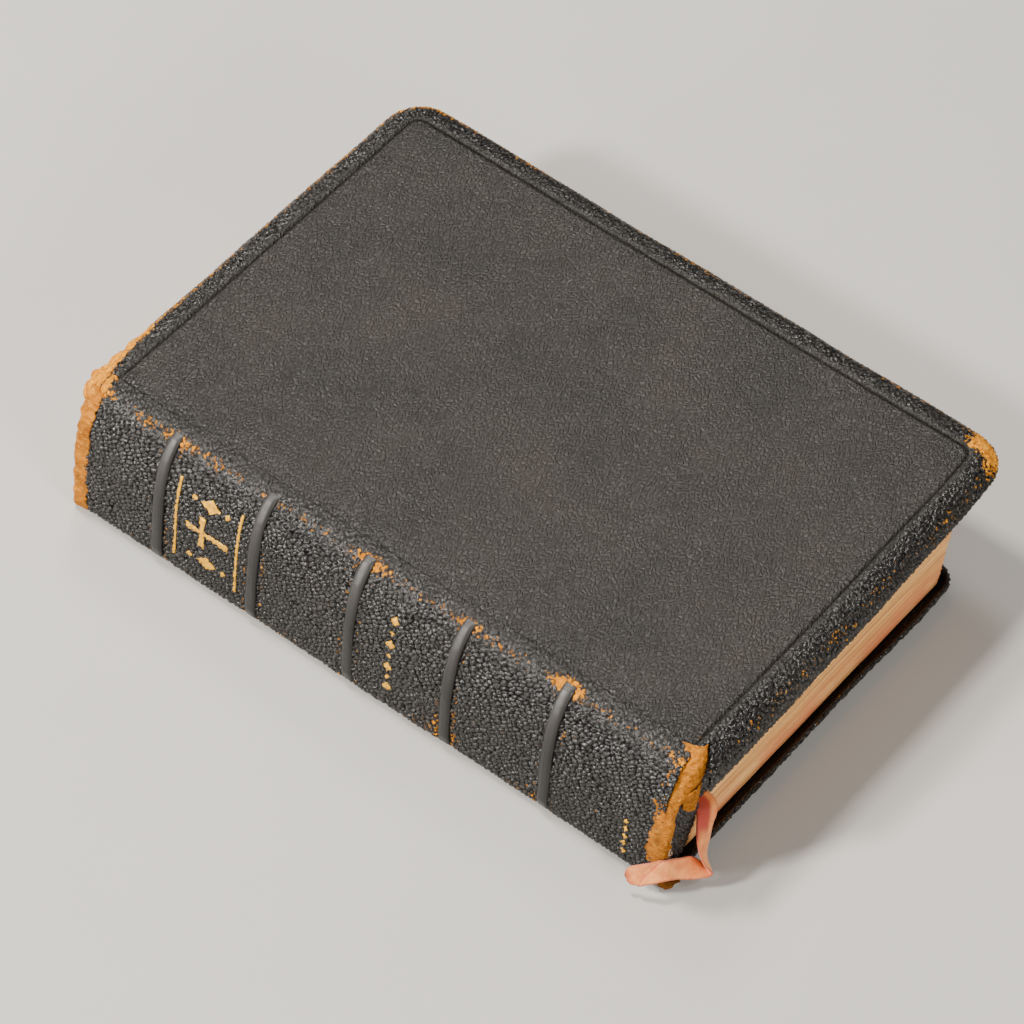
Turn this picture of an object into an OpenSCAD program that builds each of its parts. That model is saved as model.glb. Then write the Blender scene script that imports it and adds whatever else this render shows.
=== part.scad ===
// A worn leather Bible with limp yapp covers, lying closed on its back cover.
// +X runs from the spine to the fore-edge, +Y to the head, +Z up through the thickness.

/* [Book] */
// Thickness over both covers
book_t = 42; // [34:1:50]
// Height of the page block, tail to head
block_l = 194; // [170:1:220]
// Width of the pages, fold to fore-edge
page_w = 122; // [105:1:140]
// Number of gatherings in each half of the block
sections_per_half = 5; // [3:1:7]

/* [Slump] */
// How far the spine leans back for each millimetre down
spine_lean = 0.2; // [0:0.02:0.25]
// How far the fore-edge leans back for each millimetre down
fore_lean = 0.3; // [0.1:0.02:0.35]
// How far the spine stands out as a rounded back
spine_round = 4; // [2:0.5:5]

/* [Covers] */
// Thickness of a whole cover: leather, card and paper
cover_t = 2.4; // [2.2:0.1:3]
// Thickness of the cover leather
leather_t = 1.2; // [1:0.1:1.3]
// Depth of the front cover's turned-down yapp edge
front_lip = 7; // [4:0.5:9]
// Depth of the back cover's turned-up yapp edge
back_lip = 5.5; // [4:0.5:8]
// Front cover past the pages at head and tail
front_over_end = 7.5; // [5:0.5:9]
// Front cover past the pages at the fore-edge
front_over_fore = 13.5; // [8:0.5:14]
// Back cover past the pages at head and tail
back_over_end = 4; // [3:0.5:6]
// Back cover past the pages at the fore-edge
back_over_fore = 5; // [4:0.5:8]
// Radius of the front cover's outer corners
front_corner_r = 12; // [8:1:16]
// Radius of the back cover's outer corners
back_corner_r = 7; // [6:1:8]

/* [Spine] */
// Distance between raised bands
band_pitch = 32.9; // [30:0.1:35]
// Place of the raised band nearest the tail
band_first_y = -59.6; // [-62:0.2:-56]
// Width of a raised band
band_w = 4; // [3:0.5:5]
// Height of a raised band over the leather
band_h = 1; // [0.8:0.1:1.4]

/* [Leaves] */
// Thickness of one modelled leaf
leaf_t = 0.3; // [0.2:0.05:0.3]
// Width of the ribbon marker
ribbon_w = 6; // [4:0.2:7]

/* [Hidden] */
$fn = 32;
BANDS = 5;
LEAVES = 3;
HALVES = ["front", "back"];

mid_z = book_t / 2;
air = 0.15;                           // gap between pieces that move past each other
block_bottom = cover_t + leaf_t + 2 * air;
block_top = book_t - block_bottom;
block_end = block_l / 2;
stack_gap = LEAVES * leaf_t / 2 + air;  // half the room for the loose middle leaves
section_t = (block_top - mid_z - stack_gap) / sections_per_half;
board_t = 0.9;
pocket_t = cover_t - leather_t;       // room under the leather for board and pastedown
paper_at = 1.2;                       // depth of each spine layer under the leather's face
mull_at = 1.6;
tapes_at = 1.9;
folds_at = 2.2;
head_y = block_end + 2;               // the spine leather's two ends
tail_y = -block_end;
joint_gap = 0.3;                      // open leather joint between cover and spine
shoulder = 0.6;                       // the spine leather ends this far inside the covers' faces
leather = "#2a2826";
flesh = "#b8741f";
paper = "#c9a877";
gold = "#d9a62e";

// The rounded back: x of the spine leather's outer face at height z, with 0 at the front joint
function round_x(z) =
    -spine_lean * (book_t - z) - spine_round * (1 - pow((z - mid_z) / mid_z, 4));

// The same in straight steps, so that every layer of the spine meets its neighbours face to face
profile_step = 1.5;
function spine_x(z) =
    let (a = floor(z / profile_step) * profile_step, t = (z - a) / profile_step)
    round_x(a) * (1 - t) + round_x(a + profile_step) * t;
function knots(z1, z2) = concat([z1],
    [for (k = [floor(z1 / profile_step) + 1 : ceil(z2 / profile_step) - 1]) k * profile_step],
    [z2]);
back_joint_x = spine_x(0);
function fold_x(z) = spine_x(z) + folds_at;
function fore_x(z) = fold_x(block_top) + page_w - fore_lean * (block_top - z);
front_rim_x = fore_x(block_top) + front_over_fore;
back_rim_x = fore_x(block_bottom) + back_over_fore;
front_rim_y = block_end + front_over_end;
back_rim_y = block_end + back_over_end;
spine_min_x = min([for (z = [0:0.5:book_t]) spine_x(z)]) - band_h;
centre_x = (spine_min_x + front_rim_x) / 2;

// Moves the design, drawn from the front joint, to the middle of its footprint
module place() {
    translate([-centre_x, 0, 0]) children();
}

// Extrudes an outline drawn in X and Z along Y, from y1 to y2
module along_y(y1, y2) {
    translate([0, y2, 0]) rotate([90, 0, 0]) linear_extrude(y2 - y1) children();
}

// Heights of one half of the spine, from z1 to z2
function half_z(half, z1, z2) = half == "front" ? [mid_z + air / 2, z2] : [z1, mid_z - air / 2];

function reversed(list) = [for (i = [len(list) - 1 : -1 : 0]) list[i]];

// Cross-section of one layer of the spine, between two depths under the leather's face
module layer_outline(z1, z2, d1, d2) {
    zs = knots(z1, z2);
    polygon(concat(
        [for (z = zs) [spine_x(z) + d1, z]],
        [for (z = reversed(zs)) [inner_limit(spine_x(z) + d2, z), z]]));
}

// The leather stops short of each joint, so that the cover can turn there
function inner_limit(x, z) =
    z > book_t - cover_t - air ? min(x, -joint_gap / 2) :
    z < cover_t + air ? min(x, back_joint_x - joint_gap / 2) : x;

// ---- Pages ----

module section(half, i) {
    base = half == "front" ? block_top - i * section_t : block_bottom + (i - 1) * section_t;
    zs = knots(base, base + section_t);
    color(paper) place() along_y(-block_end, block_end)
        polygon(concat(
            [for (z = zs) [fold_x(z), z]],
            [[fore_x(base + section_t), base + section_t], [fore_x(base), base]]));
}

module leaf(x1, x2, z) {
    color(paper) place() translate([x1, -block_end + 0.5, z])
        cube([x2 - x1, block_l - 1, leaf_t]);
}

module middle_leaf(i) {
    z = mid_z - stack_gap + air / 3 + (i - 1) * (leaf_t + air / 3);
    leaf(fold_x(mid_z) + 0.6, fore_x(mid_z) - 0.8, z);
}

module front_flyleaf() {
    leaf(1.2, fore_x(block_top) - 1, block_top + air);
}

module back_flyleaf() {
    leaf(back_joint_x + 1.2, fore_x(block_bottom) - 1, cover_t + air);
}

// ---- Covers ----

// A plate from the joint to the fore-edge, rounded at its outer corners and inset all round
module plate(x1, x2, y, corner, inset, z, t) {
    r = corner - inset / 2;
    translate([0, 0, z]) linear_extrude(t) {
        for (s = [-1, 1]) translate([x2 - inset - r, s * (y - inset - r)]) circle(r, $fn = 48);
        translate([x1, -(y - inset)]) square([x2 - inset - r - x1, 2 * (y - inset)]);
        translate([x1, -(y - inset - r)]) square([x2 - inset - x1, 2 * (y - inset - r)]);
    }
}

// The limp leather of a cover, drawn face up with its face at z = 0 and its yapp edge below
module cover_leather(x1, x2, y, corner, lip) {
    start = x1 + joint_gap;
    edge = 1.5;
    difference() {
        hull() {
            plate(start, x2, y, corner, 4.5, -0.1, 0.1);
            plate(start, x2, y, corner, 1.2, -1.6, 0.1);
            plate(start, x2, y, corner, 0, -4, 0.1);
            plate(start, x2, y, corner, 0.4, -lip, 0.1);
        }
        plate(x1 + board_start, x2, y, corner, board_inset, -cover_t - 1, 1 + pocket_t);
        hull() {
            plate(x1 - 1, x2 - edge, y - edge, corner, 1.2, -cover_t - 0.1, 0.1);
            plate(x1 - 1, x2 - edge, y - edge, corner, 0, -4, 0.1);
            plate(x1 - 1, x2 - edge, y - edge, corner, 0.4, -lip - 1, 0.1);
        }
        blind_line(x1, x2, y, corner);
    }
}
board_start = 2;
board_inset = 7.5;

// The blind-tooled line pressed into the panel along its three free sides
module blind_line(x1, x2, y, corner) {
    line_w = 1.2;
    depth = 0.35;
    line_inset = 8.5;
    difference() {
        plate(x1 - 5, x2, y, corner, line_inset, -depth, 1);
        plate(x1 - 6, x2, y, corner, line_inset + line_w, -depth - 1, 3);
    }
}

module cover_board(x1, x2, y, corner) {
    plate(x1 + board_start, x2, y, corner, board_inset, -leather_t - board_t, board_t);
}

module pastedown(x1, x2, y, corner) {
    plate(x1 + board_start, x2, y, corner, board_inset, -cover_t, pocket_t - board_t);
}

module front_up() {
    place() translate([0, 0, book_t]) children();
}

module back_up() {
    place() mirror([0, 0, 1]) children();
}

module front_cover_leather() {
    color(leather) front_up() cover_leather(0, front_rim_x, front_rim_y, front_corner_r, front_lip);
}

module front_cover_board() {
    color("#8a7a5c") front_up() cover_board(0, front_rim_x, front_rim_y, front_corner_r);
}

module front_pastedown() {
    color("#3a2f2a") front_up() pastedown(0, front_rim_x, front_rim_y, front_corner_r);
}

module back_cover_leather() {
    color(leather) back_up()
        cover_leather(back_joint_x, back_rim_x, back_rim_y, back_corner_r, back_lip);
}

module back_cover_board() {
    color("#8a7a5c") back_up()
        cover_board(back_joint_x, back_rim_x, back_rim_y, back_corner_r);
}

module back_pastedown() {
    color("#3a2f2a") back_up()
        pastedown(back_joint_x, back_rim_x, back_rim_y, back_corner_r);
}

// ---- Spine ----

module spine_leather(half) {
    z = half_z(half, shoulder, book_t - shoulder);
    color(leather) place() along_y(tail_y, head_y) layer_outline(z[0], z[1], 0, leather_t);
}

// A raised band lies on the leather and fades out at the joints
module raised_band(half, i) {
    z = half_z(half, shoulder, book_t - shoulder);
    zs = knots(z[0], z[1]);
    y = band_first_y + band_pitch * (BANDS - i);
    color("#3a3a3c") place() along_y(y - band_w / 2, y + band_w / 2)
        polygon(concat(
            [for (h = zs) [spine_x(h) - band_rise(h), h]],
            [for (h = reversed(zs)) [spine_x(h), h]]));
}
function band_rise(z) = band_h * (1 - pow(abs(z - mid_z) / mid_z, 8));

module spine_layer(half, y1, y2, d1, d2) {
    z = half_z(half, block_bottom + 0.2, block_top - 0.2);
    place() along_y(y1, y2) layer_outline(z[0], z[1], d1, d2);
}

module spine_paper(half) {
    color("#a08a63") spine_layer(half, 1 - block_end, block_end - 1, paper_at, mull_at);
}

module mull(half) {
    color("#d8cfb8") spine_layer(half, 7 - block_end, block_end - 7, mull_at, tapes_at);
}

module sewing_tapes(half) {
    tape_w = 10;
    color("#e4dcc6") for (y = [-56, 6, 68])
        spine_layer(half, y - tape_w / 2, y + tape_w / 2, tapes_at, folds_at);
}

// A sewn band over the ends of the gatherings, at head or tail
module end_band(half, y1, y2) {
    z = half_z(half, block_bottom + 1, block_top - 1);
    color("#7d2f28") place() along_y(y1, y2) layer_outline(z[0], z[1], 1.5, 4.2);
}

module headband(half) {
    end_band(half, block_end, block_end + 1.7);
}

module tailband(half) {
    end_band(half, -block_end - 1.7, -block_end);
}

// Worn leather rolled over the head and torn at the tail
module head_cap(half) {
    z = half_z(half, back_lip + air, book_t - 2);
    color(flesh) place() along_y(head_y, head_y + 2.5) layer_outline(z[0], z[1], 0.2, 1.6);
}

module tail_cap(half) {
    z = half == "front" ? [mid_z + 6, book_t - 3] : [3, mid_z - 9];
    color(flesh) place() along_y(tail_y - 2, tail_y) layer_outline(z[0], z[1], 0, 1.3);
}

// ---- Gold tooling ----

gold_t = 0.12;

// Lays a flat ornament, drawn with X across the spine and Y to the head, on one half's leather
module gilt(half) {
    z = half_z(half, 1.5, book_t - 1.5);
    color(gold) place() intersection() {
        along_y(tail_y, head_y) layer_outline(z[0], z[1], -gold_t, 0);
        translate([-30, 0, mid_z]) rotate([0, 90, 0]) rotate([0, 0, 180])
            linear_extrude(40) mirror([0, 1]) children();
    }
}

module lozenge(w, h) {
    polygon([[-w / 2, 0], [0, -h / 2], [w / 2, 0], [0, h / 2]]);
}

// A plain Latin cross with flared arms between two lozenges and two rules
module title_outline() {
    arm = 1.1;
    for (a = [0, 90, 180, 270]) translate([0, 1.5]) rotate(a) {
        reach = a == 180 ? 9 : 5.5;
        polygon([[-arm / 2, 0], [arm / 2, 0], [arm, reach], [-arm, reach]]);
    }
    for (s = [-1, 1]) {
        translate([s * 10.5, -0.5]) lozenge(4.5, 6.5);
        translate([s * 10.5, 5.2]) lozenge(2, 2);
        translate([s * 10.5, -6.2]) lozenge(2, 2);
        translate([-14, s * 10.5 - 0.4]) square([28, 0.8]);
    }
}

module title_ornament(half) {
    gilt(half) translate([0, compartment_y(2)]) title_outline();
}

// Middle of the spine's compartment n, counted from the head
function compartment_y(n) = band_first_y + band_pitch * (BANDS + 0.5 - n);

module row_ornament(half) {
    count = 7;
    pitch = 4;
    gilt(half) translate([0, compartment_y(4) + 3])
        for (k = [0:count - 1]) translate([(k - (count - 1) / 2) * pitch, 0])
            lozenge(k % 2 == 0 ? 3 : 1.4, k % 2 == 0 ? 3 : 1.4);
}

module back_foot_ornament() {
    count = 5;
    pitch = 2.8;
    gilt("back") translate([-10, tail_y + 11])
        for (k = [0:count - 1]) translate([(k - (count - 1) / 2) * pitch, 0]) lozenge(1.8, 1.8);
}

// ---- Ribbon marker ----

// The free end of the ribbon, from the tail of the block down to its fold and away to its tip
ribbon_points = [
    [6.6, -97, 18.6], [6.6, -98.8, 18.6], [5.4, -100.2, 18.3], [3.6, -101.3, 17.4], [1.9, -102.2, 15.9],
    [0.4, -103.2, 13.9], [-0.9, -104.3, 11.4], [-1.5, -105.2, 8.8], [-1.3, -105.9, 6.4], [-1.1, -106.2, 4.9],
    [-1.8, -106, 4.3], [-3, -105.1, 5.2], [-4.7, -103.8, 6.4], [-7.7, -102.1, 7.9], [-10.8, -100.5, 9],
    [-13.1, -98.5, 8.7], [-15.4, -94.9, 6.9], [-17, -91.8, 4.6]];
// Which way the ribbon's width lies at its start, at the fold and from the end of the fold on
ribbon_sides = [[1, 0, 0], [0.43, 0.87, -0.32], [0.3, 0.3, 0.9]];
ribbon_fold = 9;
ribbon_fold_end = 13;
ribbon_t = 0.7;

function unit(v) = v / norm(v);
function lerp(a, b, t) = a + (b - a) * t;
function ribbon_side(i) = i < ribbon_fold
    ? lerp(ribbon_sides[0], ribbon_sides[1], pow(i / ribbon_fold, 3))
    : lerp(ribbon_sides[1], ribbon_sides[2], min(1, (i - ribbon_fold) / (ribbon_fold_end - ribbon_fold)));
function ribbon_ring(i) =
    let (n = len(ribbon_points) - 1,
         dir = unit(ribbon_points[min(i + 1, n)] - ribbon_points[max(i - 1, 0)]),
         lie = unit(ribbon_side(i)),
         side = unit(lie - dir * (lie * dir)),
         up = cross(dir, side))
    [for (a = [0:45:315]) ribbon_points[i] + side * cos(a) * ribbon_w / 2 + up * sin(a) * ribbon_t / 2];

module ribbon_marker() {
    n = len(ribbon_points);
    color("#e39a6c") place() polyhedron(
        points = [for (i = [0:n - 1], p = ribbon_ring(i)) p],
        faces = concat(
            [[for (k = [0:7]) k]],
            [for (i = [0:n - 2], k = [0:7])
                [i * 8 + k, (i + 1) * 8 + k, (i + 1) * 8 + (k + 1) % 8]],
            [for (i = [0:n - 2], k = [0:7])
                [i * 8 + k, (i + 1) * 8 + (k + 1) % 8, i * 8 + (k + 1) % 8]],
            [[for (k = [7:-1:0]) (n - 1) * 8 + k]]));
}

// ---- Assembly ----

back_cover_leather();
back_cover_board();
back_pastedown();
back_flyleaf();
front_cover_leather();
front_cover_board();
front_pastedown();
front_flyleaf();
ribbon_marker();
for (i = [1:LEAVES])
    middle_leaf(i);
for (h = HALVES) {
    for (i = [1:sections_per_half])
        section(h, i);
    for (i = [1:BANDS])
        raised_band(h, i);
    spine_leather(h);
    spine_paper(h);
    mull(h);
    sewing_tapes(h);
    headband(h);
    tailband(h);
    head_cap(h);
    tail_cap(h);
    title_ornament(h);
    row_ornament(h);
}
back_foot_ornament();
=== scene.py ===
import math

import bmesh
import bpy
import numpy as np
from mathutils import Matrix, Vector


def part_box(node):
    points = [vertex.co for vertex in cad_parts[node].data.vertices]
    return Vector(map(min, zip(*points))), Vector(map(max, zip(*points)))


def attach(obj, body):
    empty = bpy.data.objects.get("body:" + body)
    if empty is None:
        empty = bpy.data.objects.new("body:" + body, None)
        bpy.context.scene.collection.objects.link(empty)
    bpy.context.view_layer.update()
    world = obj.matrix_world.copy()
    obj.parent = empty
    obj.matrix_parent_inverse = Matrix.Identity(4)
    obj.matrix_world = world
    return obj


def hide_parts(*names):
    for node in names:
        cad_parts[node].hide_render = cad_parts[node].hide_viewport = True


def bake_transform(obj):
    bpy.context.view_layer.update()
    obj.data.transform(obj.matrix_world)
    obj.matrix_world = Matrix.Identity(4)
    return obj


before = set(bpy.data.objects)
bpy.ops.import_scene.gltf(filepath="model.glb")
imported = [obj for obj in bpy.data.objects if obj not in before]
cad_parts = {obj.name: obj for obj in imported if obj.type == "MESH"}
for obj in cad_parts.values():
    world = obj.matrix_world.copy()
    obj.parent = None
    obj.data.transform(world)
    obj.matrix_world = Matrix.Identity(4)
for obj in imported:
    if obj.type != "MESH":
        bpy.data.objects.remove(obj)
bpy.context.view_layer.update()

# ---------------------------------------------------------------- places, in mm from the front joint
JOINT_GAP = 0.3
front_lo, front_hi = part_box("front_cover_leather")
back_lo, back_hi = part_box("back_cover_leather")
section_lo, section_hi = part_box("back_section_1")
ORIGIN = np.array([front_lo.x - JOINT_GAP / 1000, 0.0, 0.0])
BOOK_T = front_hi.z * 1000
MID_Z = BOOK_T / 2
BLOCK_END = section_hi.y * 1000
FRONT_X = (front_hi.x - ORIGIN[0]) * 1000
FRONT_Y = front_hi.y * 1000
FRONT_LIP = (front_hi.z - front_lo.z) * 1000
BACK_JOINT = (back_lo.x - ORIGIN[0]) * 1000 - JOINT_GAP
BACK_X = (back_hi.x - ORIGIN[0]) * 1000
BACK_Y = back_hi.y * 1000
BACK_LIP = (back_hi.z - back_lo.z) * 1000
BANDS_Y = [500 * sum(corner.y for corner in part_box(f"back_raised_band_{i}")) for i in range(1, 6)]
TAIL_Y, HEAD_Y = (corner.y * 1000 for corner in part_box("back_spine_leather"))


def row(points):
    """Points in mm from the front joint, as metres in the row frame."""
    return np.asarray(points, float) * 0.001 + ORIGIN


# ---------------------------------------------------------------- number patterns
def hashed(cell, seed):
    n = (cell[..., 0] * 374761393 + cell[..., 1] * 668265263 + seed * 974634777) & 0xFFFFFFFF
    n = ((n ^ (n >> 13)) * 1274126177) & 0xFFFFFFFF
    return ((n ^ (n >> 16)) & 0xFFFFFF) / float(0x1000000)


def noise(u, v, seed=0):
    """Smooth noise from -1 to 1, one lump for each unit."""
    u, v = np.broadcast_arrays(np.asarray(u, float), np.asarray(v, float))
    iu, iv = np.floor(u).astype(np.int64), np.floor(v).astype(np.int64)
    fu, fv = u - iu, v - iv
    fu, fv = fu * fu * (3 - 2 * fu), fv * fv * (3 - 2 * fv)
    at = lambda a, b: hashed(np.stack([iu + a, iv + b], -1), seed)
    low = at(0, 0) * (1 - fu) + at(1, 0) * fu
    high = at(0, 1) * (1 - fu) + at(1, 1) * fu
    return 2 * (low * (1 - fv) + high * fv) - 1


def fractal(u, v, seed=0, octaves=3):
    """Noise at several sizes, the largest one unit across."""
    return sum(noise(u * 2**k, v * 2**k, seed + 17 * k) / 2**k for k in range(octaves)) / 1.6


def pebbles(u, v, seed=0):
    """Height from 0 in the creases to 1 on the tops of irregular cells, one for each unit."""
    iu, iv = np.floor(u).astype(np.int64), np.floor(v).astype(np.int64)
    near = np.full(u.shape, 9.0)
    second = near.copy()
    for du in (-1, 0, 1):
        for dv in (-1, 0, 1):
            cell = np.stack([iu + du, iv + dv], -1)
            px = iu + du + 0.1 + 0.8 * hashed(cell, seed)
            py = iv + dv + 0.1 + 0.8 * hashed(cell, seed + 5)
            d = np.hypot(px - u, py - v)
            second = np.minimum(second, np.maximum(near, d))
            near = np.minimum(near, d)
    crease = np.clip((second - near) / 0.5, 0, 1)
    return crease * crease * (3 - 2 * crease) * (1 - 0.35 * np.clip(near, 0, 1))


def smooth(lo, hi, x):
    """A soft step from 0 at lo to 1 at hi."""
    t = np.clip((x - lo) / (hi - lo), 0, 1)
    return t * t * (3 - 2 * t)


def bell(x, centre, width):
    """A soft hump of 1 at centre."""
    return np.exp(-(((x - centre) / width) ** 2))


def grain(x, y, angle, short=1.15, long=1.8, seed=0):
    """Pebbles stretched along an angle, in mm of leather."""
    c, s = np.cos(angle), np.sin(angle)
    u = (x * c + y * s) / long + 0.4 * noise(x / 4, y / 4, seed + 3)
    v = (-x * s + y * c) / short + 0.45 * noise(x / 4, y / 4, seed + 4)
    return 0.8 * pebbles(u, v, seed) + 0.2 * pebbles(u * 1.9, v * 1.9, seed + 9)


def skin(x, y, coarse):
    """The book's one grain, as height and lift in mm, at x mm from the joint (negative round the spine)."""
    turn = smooth(3, -6, x)
    shift = 2.5 * noise(x / 28, y / 28, 31)
    lump = (1 - turn) * grain(x + shift, y, 1.0, seed=33) + turn * grain(x, y + shift, 2.15, seed=34)
    return lump, (0.04 + 0.7 * coarse) * (lump - 0.5)


# ---------------------------------------------------------------- meshes
def piece(name, points, faces, materials, smooth_shading=True, attributes=None, face_material=None, walls=0):
    """A mesh object from points in metres, with per-point attributes for its material.

    The last walls faces are shaded flat, so that a sheet's edge doesn't darken its face.
    """
    mesh = bpy.data.meshes.new(name)
    points = np.asarray(points, np.float32)
    if isinstance(faces, np.ndarray):
        n, k = faces.shape
        mesh.vertices.add(len(points))
        mesh.vertices.foreach_set("co", points.ravel())
        mesh.loops.add(n * k)
        mesh.loops.foreach_set("vertex_index", faces.astype(np.int32).ravel())
        mesh.polygons.add(n)
        mesh.polygons.foreach_set("loop_start", np.arange(0, n * k, k, dtype=np.int32))
        mesh.update(calc_edges=True)
        mesh.validate()
    else:
        mesh.from_pydata(points.tolist(), [], faces)
        mesh.update()
    count = len(mesh.polygons)
    mesh.polygons.foreach_set("use_smooth", [smooth_shading] * (count - walls) + [False] * walls)
    for key, value in (attributes or {}).items():
        value = np.asarray(value, np.float32)
        kind, slot = ("FLOAT_VECTOR", "vector") if value.ndim == 2 else ("FLOAT", "value")
        mesh.attributes.new(key, kind, "POINT").data.foreach_set(slot, value.ravel())
    if face_material is not None:
        mesh.polygons.foreach_set("material_index", np.asarray(face_material, np.int32))
    obj = bpy.data.objects.new(name, mesh)
    bpy.context.scene.collection.objects.link(obj)
    for m in materials:
        mesh.materials.append(m)
    return obj


def grid_faces(rows, columns, wrap=False):
    """The four-sided faces of a grid of points."""
    i = np.arange(rows - 1)[:, None]
    j = np.arange(columns if wrap else columns - 1)[None, :]
    k = (j + 1) % columns
    quads = np.broadcast_arrays(i * columns + j, i * columns + k, (i + 1) * columns + k, (i + 1) * columns + j)
    return np.stack(quads, -1).reshape(-1, 4)


def surface_normals(points):
    """Normals of a grid of points (rows, columns, 3)."""
    n = np.cross(np.gradient(points, axis=0), np.gradient(points, axis=1))
    return n / np.maximum(np.linalg.norm(n, axis=-1, keepdims=True), 1e-9)


def slab(outer, inner):
    """Points and faces of a closed sheet between two grids of points."""
    rows, columns = outer.shape[:2]
    n = rows * columns
    points = np.concatenate([outer.reshape(-1, 3), inner.reshape(-1, 3)])
    front = grid_faces(rows, columns)
    idx = np.arange(n).reshape(rows, columns)
    loop = np.concatenate([idx[0, :-1], idx[:-1, -1], idx[-1, :0:-1], idx[:0:-1, 0]])
    after = np.roll(loop, -1)
    side = np.stack([loop, loop + n, after + n, after], -1)
    return points, np.concatenate([front, front[:, ::-1] + n, side])


def both_sides(values):
    """A grid's values for both faces of its slab."""
    return np.concatenate([values.reshape(-1, *values.shape[2:])] * 2)


def face_outward(mesh, weld=0.0, thickness=0.0):
    """Turns a mesh's faces outward, after welding close points and before giving it thickness, in metres."""
    bm = bmesh.new()
    bm.from_mesh(mesh)
    if weld:
        bmesh.ops.remove_doubles(bm, verts=bm.verts, dist=weld)
    bmesh.ops.recalc_face_normals(bm, faces=bm.faces)
    if thickness:
        bmesh.ops.solidify(bm, geom=bm.faces[:], thickness=thickness)
    bm.to_mesh(mesh)
    bm.free()


def travel(points):
    """The distance along a line to each of its points."""
    return np.concatenate([[0], np.cumsum(np.linalg.norm(np.diff(points, axis=0), axis=1))])


def redrawn(points, n, blur):
    """n points evenly along a line with its corners softened, and their distances before that."""
    points = np.asarray(points, float)
    at = travel(points)
    s = np.linspace(0, at[-1], n)
    line = np.stack([np.interp(s, at, points[:, k]) for k in range(points.shape[1])], -1)
    for _ in range(blur):
        line[1:-1] = 0.25 * line[:-2] + 0.5 * line[1:-1] + 0.25 * line[2:]
    return s, line


def section_line(points, step):
    """A cross-section redrawn with steps of step mm."""
    return redrawn(points, max(8, int(travel(points)[-1] / step)), int(1.2 / step))


# ---------------------------------------------------------------- materials
class Nodes:
    """A small builder for node materials."""

    def __init__(self, name):
        self.material = bpy.data.materials.new(name)
        self.material.use_nodes = True
        self.tree = self.material.node_tree
        self.shader = self.tree.nodes["Principled BSDF"]

    def node(self, kind, inputs=None, **settings):
        n = self.tree.nodes.new(kind)
        for key, value in settings.items():
            setattr(n, key, value)
        for key, value in (inputs or {}).items():
            self.put(n.inputs[key], value)
        return n

    def put(self, socket, value):
        if isinstance(value, bpy.types.NodeSocket):
            self.tree.links.new(value, socket)
        else:
            socket.default_value = value

    def set(self, **values):
        for key, value in values.items():
            self.put(self.shader.inputs[key.replace("_", " ")], value)

    def attribute(self, name):
        return self.node("ShaderNodeAttribute", attribute_name=name)

    def object_mm(self):
        at = self.node("ShaderNodeTexCoord").outputs["Object"]
        return self.node("ShaderNodeVectorMath", {0: at, 1: (1000, 1000, 1000)}, operation="MULTIPLY").outputs[0]

    def noise(self, at, scale, detail=3.0, rough=0.55, distortion=0.0):
        return self.node(
            "ShaderNodeTexNoise",
            {"Vector": at, "Scale": scale, "Detail": detail, "Roughness": rough, "Distortion": distortion},
        ).outputs["Fac"]

    def turned(self, at, angle=0.0, scale=(1, 1, 1)):
        return self.node("ShaderNodeMapping", {"Vector": at, "Rotation": (0, 0, angle), "Scale": scale}).outputs[0]

    def creases(self, at, scale):
        n = self.node("ShaderNodeTexVoronoi", {"Vector": at, "Scale": scale}, feature="DISTANCE_TO_EDGE")
        return n.outputs["Distance"]

    def math(self, op, a, b=0.0, c=None, clamp=False):
        n = self.node("ShaderNodeMath", {0: a, 1: b}, operation=op, use_clamp=clamp)
        if c is not None:
            self.put(n.inputs[2], c)
        return n.outputs[0]

    def add(self, a, b, clamp=False):
        return self.math("ADD", a, b, clamp=clamp)

    def mul(self, a, b, clamp=False):
        return self.math("MULTIPLY", a, b, clamp=clamp)

    def mul_add(self, a, b, c):
        return self.math("MULTIPLY_ADD", a, b, c)

    def wave(self, at, pitch):
        return self.mul_add(self.math("SINE", self.mul(at, 2 * math.pi / pitch)), 0.5, 0.5)

    def span(self, value, lo, hi, out_lo=0.0, out_hi=1.0):
        n = self.node(
            "ShaderNodeMapRange",
            {"Value": value, "From Min": lo, "From Max": hi, "To Min": out_lo, "To Max": out_hi},
            interpolation_type="SMOOTHSTEP",
        )
        return n.outputs[0]

    def mix(self, factor, a, b):
        n = self.node("ShaderNodeMix", data_type="RGBA")
        self.put(n.inputs[0], factor)
        self.put(n.inputs[6], a)
        self.put(n.inputs[7], b)
        return n.outputs[2]

    def bump(self, height, distance, strength=1.0):
        n = self.node("ShaderNodeBump", {"Height": height, "Distance": distance, "Strength": strength})
        return n.outputs[0]


def rgb(r, g, b):
    """An sRGB colour, 0 to 255, as linear RGBA."""
    lin = [c / 255 / 12.92 if c <= 10 else ((c / 255 + 0.055) / 1.055) ** 2.4 for c in (r, g, b)]
    return (*lin, 1.0)


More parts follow.
